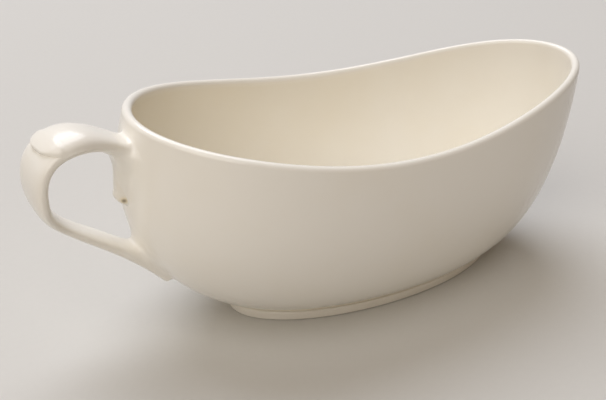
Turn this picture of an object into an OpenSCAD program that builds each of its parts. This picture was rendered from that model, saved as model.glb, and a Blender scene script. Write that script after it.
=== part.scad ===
// Bourdaloue: a boat-shaped oval vessel of glazed earthenware with a loop handle at one end.
// Millimetres. +X points from the handle to the front end, +Z up. The origin lies on the table, under the
// middle of the whole length.

/* [Bowl rim] */
// Length of the rim outside, from the handle end to the front end
rim_l = 216; // [195:1:235]
// Width of the rim outside, at mid length
rim_w = 105; // [92:1:118]
// How far the middle of the rim lies forward of the middle of the foot
rim_fwd = 1; // [-6:0.5:6]
// Height of the rim at the front end
rim_front_h = 91; // [84:1:100]
// Height of the rim at the handle end
rim_back_h = 98; // [92:1:106]
// Height of the rim at the middle of the sides, its lowest place
rim_side_h = 80.5; // [74:0.5:86]
// How much the rim stands above a plain wave, half way from the sides to the ends
rim_shoulder = 2; // [0:0.5:4]
// How much fuller the plan is towards the handle
plan_egg = 0.2; // [0:0.01:0.3]
// How much fuller the plan is at both ends
plan_fill = 0.18; // [0:0.01:0.3]
// Thickness of the rounded lip
lip_t = 4; // [3:0.25:5]

/* [Bowl wall] */
// Length of the seat on the foot
base_l = 133; // [118:1:146]
// Width of the seat on the foot
base_w = 60; // [50:1:68]
// Length of the low oval that the wall bends towards as it leaves the foot
low_l = 174; // [164:1:184]
// Width of that low oval
low_w = 102; // [94:1:110]
// How far its middle lies forward of the middle of the foot
low_fwd = 4; // [0:0.5:8]
// Its height above the foot at the front end
low_front_h = 4.5; // [2:0.5:9]
// Its height above the foot at the handle end
low_back_h = 10.5; // [6:0.5:14]
// Length of the high oval that the wall bends towards below the rim
high_l = 232; // [222:1:242]
// Width of that high oval
high_w = 113; // [104:1:122]
// How far its middle lies forward of the middle of the foot
high_fwd = -7; // [-12:0.5:-2]
// Its height above the foot at the front end
high_front_h = 43; // [36:0.5:50]
// Its height above the foot at the handle end
high_back_h = 32.5; // [27:0.5:40]
// Thickness of the wall
wall_t = 4; // [3:0.25:5]
// Thickness of the floor
floor_t = 5; // [4:0.25:7]
// Length of the flat of the floor inside
floor_l = 92; // [70:1:100]
// Width of the flat of the floor inside
floor_w = 34; // [24:1:38]

/* [Foot] */
// Height of the foot, with its bed of slip
foot_h = 5.3; // [4:0.1:9]
// Width of the foot ring across its standing face
foot_ring_w = 7; // [5:0.5:11]
// How far the foot ring stands in from the edge of the seat
foot_inset = 0.7; // [0.3:0.1:2]
// Thickness of the bed of slip between foot ring and bowl
foot_slip_t = 0.5; // [0.3:0.1:1]
// How far the bed of slip stands in from the faces of the foot ring
foot_slip_inset = 0.5; // [0.2:0.1:1.5]

/* [Handle strap] */
// Drop from the rim at the handle end to the middle of the strap where it meets the wall
joint_drop = 10; // [8:0.5:14]
// Reach of the loop, from the wall at the upper joint to its outer face
handle_reach = 39.2; // [33:0.1:46]
// Drop from the upper joint to the outermost place of the loop
handle_drop = 8.5; // [5:0.5:14]
// Height above the table of the strap's lower end
lower_joint_h = 27.5; // [24:0.5:34]
// Rise of the strap above level as it leaves the wall, in degrees
top_angle = 33; // [20:0.5:40]
// How far the strap holds that rise
top_pull = 17; // [12:0.5:22]
// How far the loop's back holds upright above its outermost place
shoulder_pull = 19; // [14:0.5:24]
// How far the loop's back holds upright below its outermost place
elbow_pull = 21; // [16:0.5:26]
// How far the lower arm holds the slope of the wall
arm_pull = 42; // [34:0.5:48]
// Thickness of the strap over the top and back of the loop
strap_t = 4.75; // [4:0.25:6]
// Thickness of the strap along the lower arm
strap_low_t = 3.5; // [3:0.25:5]
// How much thicker the strap gets, on the inside of the loop, towards its lower end
root_t = 2; // [0:0.25:3]
// How far the middle of the strap's lower end stands off the wall
root_lift = 1; // [0:0.1:1.5]
// Width of the strap at the upper joint
strap_top_w = 20.5; // [17:0.5:23]
// Width of the strap at the outermost place of the loop
strap_back_w = 24; // [18:0.5:26]
// Width of the strap along the lower arm
strap_low_w = 14; // [12:0.5:18]
// Radius of the strap's edges
strap_edge_r = 1.2; // [0.5:0.1:1.4]

/* [Thumb rest] */
// Distance along the strap from the slip fillet to the thin end of the thumb rest
rest_gap = 2; // [0.5:0.5:5]
// Length of the thumb rest along the strap
rest_l = 29; // [24:0.5:31]
// Length of its rounded outer end
rest_round_l = 9; // [6:0.5:14]
// Width of the thumb rest at its middle
rest_w = 20; // [15:0.5:23]
// Width of the thumb rest at its thin end
rest_thin_w = 15; // [8:0.5:18]
// Thickness of the thumb rest at its outer end
rest_t = 1.5; // [1.25:0.25:3]
// Thickness of the thumb rest at its thin end
rest_thin_t = 0.6; // [0.5:0.1:1.2]

/* [Tail] */
// Length of the tail down the wall
tail_l = 21; // [15:0.5:24]
// Width of the tail below the strap
tail_top_w = 15; // [12:0.5:17]
// Width of the tail above its nub
tail_low_w = 11; // [8:0.5:14]
// Thickness of the tail
tail_t = 3; // [2:0.25:4]
// Radius of the hollow between the tail and the underside of the strap
tail_flare_r = 6; // [2:0.5:8]
// How much the nub at the end stands out beyond the tail
nub_t = 0.75; // [0:0.25:2]
// Length of the nub
nub_l = 6; // [4:0.5:9]
// Length of the rounding at the end of the tail
tail_round_l = 3; // [2:0.5:4]

/* [Slip joints] */
// Clearance between neighbouring pieces at a joint
slip_gap = 0.25; // [0.15:0.05:0.4]
// Reach of the slip fillet around the upper joint
upper_slip_r = 3; // [2:0.5:6]
// Reach of the slip fillet on the wall around the lower joint
lower_slip_r = 3; // [2:0.5:5]
// Length of strap that the lower fillet runs along, up from the end
lower_slip_l = 18; // [10:0.5:22]

/* [Hidden] */

glaze = "#E8DFD0";
slip = "#DDD3C1";

sectors = 72;
wall_steps = 18;
lip_steps = 6;
strap_steps = 24;
flat_steps = 6;
edge_steps = 3;
rest_steps = 26;
tail_steps = 18;
side_steps = 8;
corner_steps = 4;
fillet_steps = 4;
around = [for (k = [0 : sectors - 1]) 360 * k / sectors];

// Share of the thickness that is rounded at the edges of the thumb rest and of the tail
soft_share = 0.8;
// Share of the tail's thickness that is left at its very end
tail_end_share = 0.4;
// Small differences used to find slopes
angle_step = 0.01;
share_step = 0.0001;
wall_rounds = 6;
meet_rounds = 5;

// Plain helpers

function unit(v) = v / norm(v);
function mix(a, b, s) = a + (b - a) * s;
function ease(s) = let (c = max(0, min(1, s))) c * c * (3 - 2 * c);
function bezier(p, s) = pow(1 - s, 3) * p[0] + 3 * s * pow(1 - s, 2) * p[1] + 3 * s * s * (1 - s) * p[2]
    + pow(s, 3) * p[3];
function quadratic(a, b, c, s) = pow(1 - s, 2) * a + 2 * s * (1 - s) * b + s * s * c;
// Value at angle a that runs from front at 0 degrees to back at 180
function along(front, back, a) = mix(back, front, (1 + cos(a)) / 2);

// Bowl surface: at each angle the wall is one curve with four control points, one on each oval

function oval(l, w, fwd, egg, fill, inset, a) =
    [fwd + (l / 2 - inset) * cos(a),
     (w / 2 - inset) * sin(a) * (1 - egg * cos(a) + fill * pow(cos(a), 2))];
function rim_oval(inset, a) = oval(rim_l, rim_w, rim_fwd, plan_egg, plan_fill, inset, a);
function high_oval(inset, a) = oval(high_l, high_w, high_fwd, plan_egg, plan_fill, inset, a);
function low_oval(inset, a) = oval(low_l, low_w, low_fwd, plan_egg / 2, 0, inset, a);
function base_oval(inset, a) = oval(base_l, base_w, 0, 0, 0, inset, a);
function floor_oval(a) = oval(floor_l, floor_w, 0, 0, 0, 0, a);

lip_r = lip_t / 2;
rim_ends_h = (rim_front_h + rim_back_h) / 2;
// Height of the middle of the lip
function rim_z(a) = (rim_ends_h + rim_side_h) / 2 + (rim_front_h - rim_back_h) / 2 * cos(a)
    + (rim_ends_h - rim_side_h) / 2 * cos(2 * a) + rim_shoulder / 2 * (1 - cos(4 * a)) - lip_r;
function high_z(a) = foot_h + along(high_front_h, high_back_h, a);
function low_z(a) = foot_h + along(low_front_h, low_back_h, a);
floor_z = foot_h + floor_t;

function raised(p, z) = [p.x, p.y, z];
function outer_wall(a, s) = bezier([raised(base_oval(0, a), foot_h), raised(low_oval(0, a), low_z(a)),
    raised(high_oval(0, a), high_z(a)), raised(rim_oval(0, a), rim_z(a))], s);
function inner_wall(a, s) = bezier([raised(floor_oval(a), floor_z), raised(low_oval(wall_t, a), floor_z),
    raised(high_oval(wall_t, a), high_z(a)), raised(rim_oval(lip_t, a), rim_z(a))], s);
function lip(a, turn) = raised(rim_oval(lip_r - lip_r * cos(turn), a), rim_z(a) + lip_r * sin(turn));

// Outside of the wall at the handle end: its x at a given y and z

degrees_per_mm = 180 / PI / (rim_w / 2 * (1 + plan_egg + plan_fill));
function wall_place(y, z, a, s, rounds) = rounds == 0 ? [a, s] :
    let (
        p = outer_wall(a, s),
        pa = (outer_wall(a + angle_step, s) - p) / angle_step,
        ps = (outer_wall(a, s + share_step) - p) / share_step,
        det = pa.y * ps.z - pa.z * ps.y,
        dy = y - p.y,
        dz = z - p.z
    )
    wall_place(y, z, a + (dy * ps.z - dz * ps.y) / det, s + (pa.y * dz - pa.z * dy) / det, rounds - 1);
function wall_x(y, z) =
    let (
        guess = [180 - y * degrees_per_mm, (z - foot_h) / (rim_z(180) - foot_h)],
        place = wall_place(y, z, guess[0], guess[1], wall_rounds)
    )
    outer_wall(place[0], place[1]).x;
function on_wall(y, z) = [wall_x(y, z) - slip_gap, y, z];

// Lofts: rings of points with the same count, joined by triangles

function tube_faces(rings, n) = [for (i = [0 : rings - 2], j = [0 : n - 1])
    let (a = i * n + j, b = i * n + (j + 1) % n)
    each [[a, b, b + n], [a, b + n, a + n]]];
// Closes a ring that runs along one side for m points and back along the other side for m points
function strip_cap(first, m) = [for (j = [0 : m - 2])
    let (a = first + j, b = first + 2 * m - 1 - j)
    each [[a, b, b - 1], [a, b - 1, a + 1]]];
function turned(faces) = [for (f = faces) [f[2], f[1], f[0]]];
function flat_list(rings) = [for (r = rings) each r];

module strip_loft(rings, m) {
    last = (len(rings) - 1) * 2 * m;
    polyhedron(
        points = flat_list(rings),
        faces = turned(concat(tube_faces(len(rings), 2 * m), strip_cap(0, m), turned(strip_cap(last, m)))));
}

// Places the part so that the middle of its whole length is over the origin
front_x = rim_fwd + rim_l / 2;
module placed() {
    translate([-(front_x + loop_x) / 2, 0, 0]) children();
}

// Strap: two curves in the plane of symmetry that meet upright at the outermost place of the loop

upper_z = rim_back_h - joint_drop;
upper_x = wall_x(0, upper_z);
loop_x = upper_x - handle_reach;
outermost = [loop_x + strap_t / 2, 0, upper_z - handle_drop];
upper_curve = [
    [upper_x, 0, upper_z],
    [upper_x - top_pull * cos(top_angle), 0, upper_z + top_pull * sin(top_angle)],
    outermost + [0, 0, shoulder_pull],
    outermost];
wall_slope = unit([wall_x(0, lower_joint_h - 1) - wall_x(0, lower_joint_h + 1), 0, -2]);
lower_end = [wall_x(0, lower_joint_h), 0, lower_joint_h] + root_lift * [wall_slope.z, 0, -wall_slope.x];
lower_curve = [outermost, outermost - [0, 0, elbow_pull], lower_end - arm_pull * wall_slope, lower_end];

// Share of the upper curve over which the strap's slanted end turns square
meet_share = 0.3;
// Share of the lower curve over which the strap narrows
narrow_share = 0.45;
// Share of the lower curve after which the strap thickens inside
root_from = 0.3;

// u runs from 0 at the upper joint, through 1 at the outermost place, to 2 at the lower end
function strap_mid(u) = u <= 1 ? bezier(upper_curve, u) : bezier(lower_curve, u - 1);
function strap_dir(u) = unit(strap_mid(min(2, u + share_step)) - strap_mid(max(0, u - share_step)));
function strap_out(u) = let (d = strap_dir(u)) [d.z, 0, -d.x];
function strap_w(u) = u <= 1 ? mix(strap_top_w, strap_back_w, ease(u))
    : mix(strap_back_w, strap_low_w, ease((u - 1) / narrow_share));
function strap_thick(u) = mix(strap_t, strap_low_t, ease((u - 1) / narrow_share));

// Half outline of a flat section with rounded edges: points [y, half thickness]
function half_outline(w, t, r) = concat(
    [for (k = [0 : edge_steps - 1]) let (b = 90 * k / edge_steps)
        [-w / 2 + r - r * cos(b), t / 2 - r + r * sin(b)]],
    [for (k = [0 : flat_steps]) [(w / 2 - r) * (2 * k / flat_steps - 1), t / 2]],
    [for (k = [edge_steps - 1 : -1 : 0]) let (b = 90 * k / edge_steps)
        [w / 2 - r + r * cos(b), t / 2 - r + r * sin(b)]]);
outline_points = 2 * edge_steps + flat_steps + 1;

// The lower end is bent across its width to the curve of the wall
hug_from = 1.5;
function strap_point(u, y, h) =
    let (
        p = strap_mid(u) + h * strap_out(u) + [0, y, 0],
        hug = ease((u - hug_from) / (2 - hug_from)),
        bent = hug == 0 ? p : p + [hug * (wall_x(y, p.z) - wall_x(0, p.z)), 0, 0]
    )
    bent;
// How far a point of the section at the upper joint is moved along the strap to meet the wall
function meet(y, h, move = 0, rounds = meet_rounds) = rounds == 0 ? move :
    let (p = strap_mid(0) + h * strap_out(0), d = strap_dir(0))
    meet(y, h, (wall_x(y, p.z + move * d.z) - slip_gap - p.x) / d.x, rounds - 1);
function met_point(y, h) = strap_mid(0) + h * strap_out(0) + [0, y, 0] + meet(y, h) * strap_dir(0);
// The move dies away along the first part of the strap
function slid_point(u, y, h) = strap_point(u, y, h)
    + (u < meet_share ? (1 - u / meet_share) * meet(y, h) : 0) * strap_dir(u);
// Keeps a point of the strap off the wall
function clear_point(p) = [min(p.x, wall_x(p.y, p.z) - slip_gap), p.y, p.z];
function strap_ring(u) =
    let (
        half = half_outline(strap_w(u), strap_thick(u), strap_edge_r),
        root = root_t * ease((u - 1 - root_from) / (1 - root_from)),
        outside = [for (q = half) slid_point(u, q[0], q[1])],
        inside = [for (j = [len(half) - 1 : -1 : 0]) slid_point(u, half[j][0], -half[j][1] - root)],
        ring = concat(outside, inside)
    )
    u > 1 ? [for (p = ring) clear_point(p)] : ring;

// Distance along the strap, from the upper joint, for each of a row of places
measure_steps = 200;
measure_u = [for (i = [0 : measure_steps]) 2 * i / measure_steps];
measure_mid = [for (u = measure_u) strap_mid(u)];
function lengths(i, sum) = i > measure_steps ? [] :
    let (d = i == 0 ? 0 : sum + norm(measure_mid[i] - measure_mid[i - 1]))
    concat([d], lengths(i + 1, d));
measure_d = lengths(0, 0);
strap_l = measure_d[measure_steps];
u_table = [for (i = [0 : measure_steps]) [measure_d[i], measure_u[i]]];
function u_at(d) = lookup(d, u_table);

module bowl() {
    rings = concat(
        [for (i = [0 : wall_steps]) [for (a = around) outer_wall(a, i / wall_steps)]],
        [for (i = [1 : lip_steps - 1]) [for (a = around) lip(a, 180 * i / lip_steps)]],
        [for (i = [wall_steps : -1 : 0]) [for (a = around) inner_wall(a, i / wall_steps)]]);
    count = len(rings);
    underside_middle = count * sectors;
    floor_middle = underside_middle + 1;
    last = (count - 1) * sectors;
    underside = [for (k = [0 : sectors - 1]) [underside_middle, (k + 1) % sectors, k]];
    inside = [for (k = [0 : sectors - 1]) [floor_middle, last + k, last + (k + 1) % sectors]];
    color(glaze) placed() polyhedron(
        points = concat(flat_list(rings), [[0, 0, foot_h], [0, 0, floor_z]]),
        faces = turned(concat(tube_faces(count, sectors), underside, inside)));
}

module oval_ring(outer_inset, inner_inset) {
    difference() {
        polygon([for (a = around) base_oval(outer_inset, a)]);
        polygon([for (a = around) base_oval(inner_inset, a)]);
    }
}

module foot_ring() {
    color(glaze) placed() linear_extrude(foot_h - foot_slip_t)
        oval_ring(foot_inset, foot_inset + foot_ring_w);
}

module foot_joint_slip() {
    outer = foot_inset + foot_slip_inset;
    inner = foot_inset + foot_ring_w - foot_slip_inset;
    color(slip) placed() translate([0, 0, foot_h - foot_slip_t]) linear_extrude(foot_slip_t)
        oval_ring(outer, inner);
}

module handle_strap() {
    rings = [for (i = [0 : 2 * strap_steps]) strap_ring(i / strap_steps)];
    color(glaze) placed() strip_loft(rings, outline_points);
}

module thumb_rest() {
    rest_start = meet(0, strap_t / 2) + upper_slip_r + rest_gap;
    round_from = rest_l - rest_round_l;
    tip_w = 2 * strap_edge_r;
    rings = [for (i = [0 : rest_steps])
        let (
            // Stations crowd towards the rounded end
            d = rest_l * sin(90 * i / rest_steps),
            u = u_at(rest_start + d),
            body_w = mix(rest_thin_w, rest_w, ease(d / round_from)),
            past = max(0, d - round_from) / rest_round_l,
            w = max(tip_w, body_w * sqrt(max(0, 1 - past * past))),
            t = mix(rest_thin_t, rest_t, ease(d / rest_l)),
            half = half_outline(w, 2 * t, min(w / 2, t) * soft_share),
            seat = strap_t / 2 + slip_gap
        )
        concat(
            [for (q = half) strap_mid(u) + (seat + q[1]) * strap_out(u) + [0, q[0], 0]],
            [for (j = [len(half) - 1 : -1 : 0]) strap_mid(u) + seat * strap_out(u) + [0, half[j][0], 0]])];
    color(glaze) placed() strip_loft(rings, outline_points);
}

// Height of the underside of the strap at a given x, from the wall to a share of the upper curve
under_to = 0.6;
under_points = [for (i = [strap_steps : -1 : 0]) slid_point(under_to * i / strap_steps, 0, -strap_t / 2)];
// One more point, in line with the strap, inside the wall
under_last = under_points[strap_steps] - strap_t * strap_dir(0);
under_table = [for (p = concat(under_points, [under_last])) [p.x, p.z]];
function under_z(x) = lookup(x, under_table) - slip_gap;

module upper_tail() {
    tip_w = 2 * strap_edge_r;
    top_z = under_z(upper_x);
    rings = [for (i = [0 : tail_steps])
        let (
            s = i / tail_steps,
            d = s * tail_l,
            hollow = max(0, tail_flare_r - d),
            flare = tail_flare_r - sqrt(pow(tail_flare_r, 2) - pow(hollow, 2)),
            left = tail_l - d,
            nub = nub_t * sin(180 * max(0, min(1, 1 - left / nub_l))),
            end = sqrt(max(0, 1 - pow(max(0, 1 - left / tail_round_l), 2))),
            w = max(tip_w, mix(tail_top_w, tail_low_w, ease(s)) * end),
            t = (tail_t + flare + nub) * max(end, tail_end_share),
            half = half_outline(w, 2 * t, min(t, w / 2) * soft_share),
            outside = [for (q = half)
                let (
                    first_x = wall_x(q[0], top_z - d) - slip_gap - q[1],
                    first_z = mix(under_z(first_x), top_z - tail_l, s),
                    x = wall_x(q[0], first_z) - slip_gap - q[1]
                )
                [x, q[0], mix(under_z(x), top_z - tail_l, s)]],
            inside = [for (j = [len(half) - 1 : -1 : 0])
                let (y = half[j][0])
                on_wall(y, mix(under_z(wall_x(y, top_z)), top_z - tail_l, s))]
        )
        concat(outside, inside)];
    color(glaze) placed() strip_loft(rings, outline_points);
}

// A fillet of slip: at each place it fills the corner c between a point w on the wall and a point s on the
// strap
function fillet_section(c, w, s) = concat([c], [for (k = [0 : fillet_steps])
    quadratic(w, c, s, k / fillet_steps)]);

module fillet_loft(sections) {
    n = fillet_steps + 2;
    last = (len(sections) - 1) * n;
    fan = [for (k = [1 : n - 2]) [0, k + 1, k]];
    polyhedron(
        points = flat_list(sections),
        faces = concat(tube_faces(len(sections), n), fan, [for (f = turned(fan)) f + [last, last, last]]));
}

module upper_joint_slip() {
    half = half_outline(strap_w(0), strap_t, strap_edge_r);
    // Section points [y, height, outward y, outward height], up one side, over the top and down the other
    over = [for (j = [0 : len(half) - 1])
        let (
            k = min(j, len(half) - 1 - j),
            b = min(90, 90 * k / edge_steps),
            side = j < len(half) / 2 ? -1 : 1
        )
        [half[j][0], half[j][1], side * cos(b), sin(b)]];
    foot_y = strap_top_w / 2;
    foot_rise = -(strap_t / 2 - strap_edge_r);
    line = concat([[-foot_y, foot_rise, -1, 0]], over, [[foot_y, foot_rise, 1, 0]]);
    sections = [for (q = line)
        let (
            y = q[0] + slip_gap * q[2],
            h = q[1] + slip_gap * q[3],
            c = met_point(y, h),
            u_back = u_at(max(0, meet(y, h)) + upper_slip_r),
            w = on_wall(y + upper_slip_r * q[2], c.z + upper_slip_r * q[3]),
            s = strap_mid(u_back) + h * strap_out(u_back) + [0, y, 0]
        )
        fillet_section(c, w, s)];
    color(slip) placed() fillet_loft(sections);
}

module lower_joint_slip() {
    u_from = u_at(strap_l - lower_slip_l);
    edge_h = strap_low_t / 2 - strap_edge_r;
    // Places [u, share of the half width, outward y, outward along the strap]: down one side, round the end
    // and up the other side
    side = [for (k = [0 : side_steps - 1]) [mix(u_from, 2, k / side_steps), 1, 1, 0]];
    corner = [for (k = [0 : corner_steps]) let (b = 90 * k / corner_steps) [2, 1, cos(b), sin(b)]];
    end = [for (k = [1 : flat_steps - 1]) [2, 1 - 2 * k / flat_steps, 0, 1]];
    down = concat(side, corner);
    up = [for (k = [len(down) - 1 : -1 : 0]) let (q = down[k]) [q[0], -q[1], -q[2], q[3]]];
    sections = [for (q = concat(down, end, up))
        let (
            y = q[1] * strap_w(q[0]) / 2,
            out = [0, q[2], 0] + q[3] * strap_dir(q[0]),
            foot = strap_point(q[0], y, -edge_h) + slip_gap * out,
            c = on_wall(foot.y, foot.z),
            far = c + lower_slip_r * out,
            s = strap_point(q[0], y, edge_h) + slip_gap * out
        )
        fillet_section(c, on_wall(far.y, far.z), clear_point(s))];
    color(slip) placed() fillet_loft(sections);
}

bowl();
foot_ring();
foot_joint_slip();
handle_strap();
thumb_rest();
upper_tail();
upper_joint_slip();
lower_joint_slip();
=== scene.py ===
import math

import bmesh
import bpy
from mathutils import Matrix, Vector
from mathutils.bvhtree import BVHTree


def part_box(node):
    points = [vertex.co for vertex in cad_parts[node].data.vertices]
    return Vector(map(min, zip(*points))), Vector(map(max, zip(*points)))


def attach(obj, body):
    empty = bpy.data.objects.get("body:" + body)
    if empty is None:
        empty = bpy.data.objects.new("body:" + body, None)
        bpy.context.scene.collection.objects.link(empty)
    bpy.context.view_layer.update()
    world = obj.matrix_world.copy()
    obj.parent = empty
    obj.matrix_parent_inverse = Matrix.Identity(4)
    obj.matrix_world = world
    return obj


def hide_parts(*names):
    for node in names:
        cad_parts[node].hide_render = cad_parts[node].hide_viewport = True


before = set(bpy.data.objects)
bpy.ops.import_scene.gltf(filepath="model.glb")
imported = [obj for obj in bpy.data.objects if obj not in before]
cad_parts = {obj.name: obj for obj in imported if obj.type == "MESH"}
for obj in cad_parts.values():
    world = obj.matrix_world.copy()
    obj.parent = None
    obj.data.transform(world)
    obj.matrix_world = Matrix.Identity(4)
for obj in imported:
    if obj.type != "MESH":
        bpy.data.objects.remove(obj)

# A boat-shaped vessel of cream glazed earthenware on a low foot ring, with a strap handle at one end.
# Sizes are written in millimetres; everything is built in metres in the frame of the imported model.
# A piece's pool says how thick the glaze gathers there: 0 is thin and 1 is gathered. Inside the bowl it
# also carries painted shade, and well over 1 it paints a dark spot of shade.

mm = 0.001
grownSeam = 0.004 * mm  # points of a grown piece that are nearer than this are merged
skinSeam = 0.003 * mm  # the same for a skinned piece
creaseAngle = math.radians(50)
rayStart, rayLength = -0.5, 1.0  # metres: rays at the wall start well behind the handle
scene = bpy.context.scene
scene.view_settings.view_transform = "Standard"
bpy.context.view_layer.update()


def toLinear(hexColour):
    parts = [int(hexColour[i:i + 2], 16) / 255 for i in (1, 3, 5)]
    return [p / 12.92 if p <= 0.04045 else ((p + 0.055) / 1.055) ** 2.4 for p in parts] + [1.0]


def shownOutput(node):
    return next(out for out in node.outputs if out.enabled)


def addNode(tree, kind, *inputs, named=None, **settings):
    # One node: its settings first, then values or links for its shown inputs, in order or by name
    node = tree.nodes.new(kind)
    for key, value in settings.items():
        setattr(node, key, value)
    shown = [socket for socket in node.inputs if socket.enabled]
    byName = [(node.inputs[key], value) for key, value in (named or {}).items()]
    for socket, value in [*zip(shown, inputs), *byName]:
        if isinstance(value, bpy.types.Node):
            value = shownOutput(value)
        if isinstance(value, bpy.types.NodeSocket):
            tree.links.new(value, socket)
        elif value is not None:
            socket.default_value = value
    return node


def newTree(name, inputs, outputs=None):
    # Inputs and outputs are names, listed under the kind of their sockets; most trees give a mesh
    tree = bpy.data.node_groups.new(name, "GeometryNodeTree")
    for side, sockets in (("INPUT", inputs), ("OUTPUT", outputs or {"Geometry": ["Geometry"]})):
        for kind, labels in sockets.items():
            for label in labels:
                tree.interface.new_socket(name=label, in_out=side, socket_type="NodeSocket" + kind)
    return tree, tree.nodes.new("NodeGroupInput").outputs, tree.nodes.new("NodeGroupOutput").inputs


def placeParts(tree):
    # The x, y and z of each point
    return addNode(tree, "ShaderNodeSeparateXYZ", addNode(tree, "GeometryNodeInputPosition")).outputs


def inMetres(sizes):
    return {n: v * mm for n, v in sizes.items()}


def newObject(name, data):
    made = bpy.data.objects.new(name, data)
    scene.collection.objects.link(made)
    return made


def growPiece(name, tree, values):
    # Runs a tree on an empty mesh and keeps the result as a plain mesh
    carrier = newObject(name + "Maker", bpy.data.meshes.new(name + "Start"))
    modifier = carrier.modifiers.new("Grow", "NODES")
    modifier.node_group = tree
    for item in tree.interface.items_tree:
        if item.in_out == "INPUT" and item.name in values:
            modifier[item.identifier] = values[item.name]
    grown = bpy.data.meshes.new_from_object(carrier.evaluated_get(bpy.context.evaluated_depsgraph_get()))
    bpy.data.objects.remove(carrier)
    grown.name = name
    return newObject(name, grown)


def skinRows(name, rows, material, poolAt):
    # Skins rows of points, each closed on itself; pinched rows at both ends close the piece
    mesh = bmesh.new()
    layer = mesh.verts.layers.float.new("pool")
    verts = [[mesh.verts.new(point) for point in row] for row in rows]
    for vert in mesh.verts:
        vert[layer] = poolAt(vert.co)
    for a, b in zip(verts, verts[1:]):
        for j in range(len(a)):
            k = (j + 1) % len(a)
            mesh.faces.new((a[j], a[k], b[k], b[j]))
    bmesh.ops.remove_doubles(mesh, verts=mesh.verts, dist=skinSeam)
    bmesh.ops.recalc_face_normals(mesh, faces=mesh.faces)
    for face in mesh.faces:
        face.smooth = True
    for edge in mesh.edges:  # keeps the hidden underside from dulling the shading at the edge
        edge.smooth = len(edge.link_faces) == 2 and edge.calc_face_angle(0.0) < creaseAngle
    data = bpy.data.meshes.new(name)
    mesh.to_mesh(data)
    mesh.free()
    data.materials.append(material)
    return newObject(name, data)


def pinched(row):
    # A row whose two halves lie on each other, midway
    half = [(a + b) / 2 for a, b in zip(row, row[::-1])][:len(row) // 2]
    return half + half[::-1]


def keepLargest(piece):
    # Drops crumbs: only the largest connected shell stays
    mesh = bmesh.new()
    mesh.from_mesh(piece.data)
    shells, seen = [], set()
    for vert in mesh.verts:
        if vert in seen:
            continue
        shell, waiting = [], [vert]
        seen.add(vert)
        while waiting:
            shell.append(waiting.pop())
            for link in shell[-1].link_edges:
                other = link.other_vert(shell[-1])
                if other not in seen:
                    seen.add(other)
                    waiting.append(other)
        shells.append(shell)
    shells.sort(key=len)
    bmesh.ops.delete(mesh, geom=[v for shell in shells[:-1] for v in shell], context="VERTS")
    mesh.to_mesh(piece.data)
    mesh.free()


def ease(s):
    c = max(0.0, min(1.0, s))
    return c * c * (3 - 2 * c)


def blend(a, b, s):
    return a + (b - a) * s


def fourPoint(p, s):
    r = 1 - s
    return p[0] * r ** 3 + p[1] * 3 * s * r * r + p[2] * 3 * s * s * r + p[3] * s ** 3


# Lead glazed earthenware, dipped: a clear, faintly yellow glass over a cream body. It gives the eye a soft
# cream white where the glaze is thin, buff yellow where it gathers, a wet gloss and a slow ripple. Inside
# the bowl the buff yellow is also painted shade.
bodyGlaze = {
    # The gathered colour also paints shade inside the bowl; the pit colour marks iron specks and also
    # paints the dark shade spot by the tail's nub
    "thin": "#F6F3EB", "gatheredAndShade": "#ECE1C6", "pit": "#6E5E4A",
    "patchMm": 42, "patchShare": 0.08, "poolShare": 0.9, "paintedShadePool": (1.1, 2.4),
    "pitEveryMm": 24, "pitMm": 0.4, "pitCore": 0.4, "pitShare": 0.3,
    "rough": (0.15, 0.24), "roughPatchMm": 18, "ior": 1.5,
    "rippleMm": 16, "rippleDeepMm": 0.06, "grainMm": 1.6, "grainDeepMm": 0.004,
}
# The same glaze over slip, a little darker where it gathers
slipGlaze = dict(bodyGlaze, gatheredAndShade="#EADFC3")
noiseSpan = (0.3, 0.7)  # most values of a noise lie between these


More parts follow.
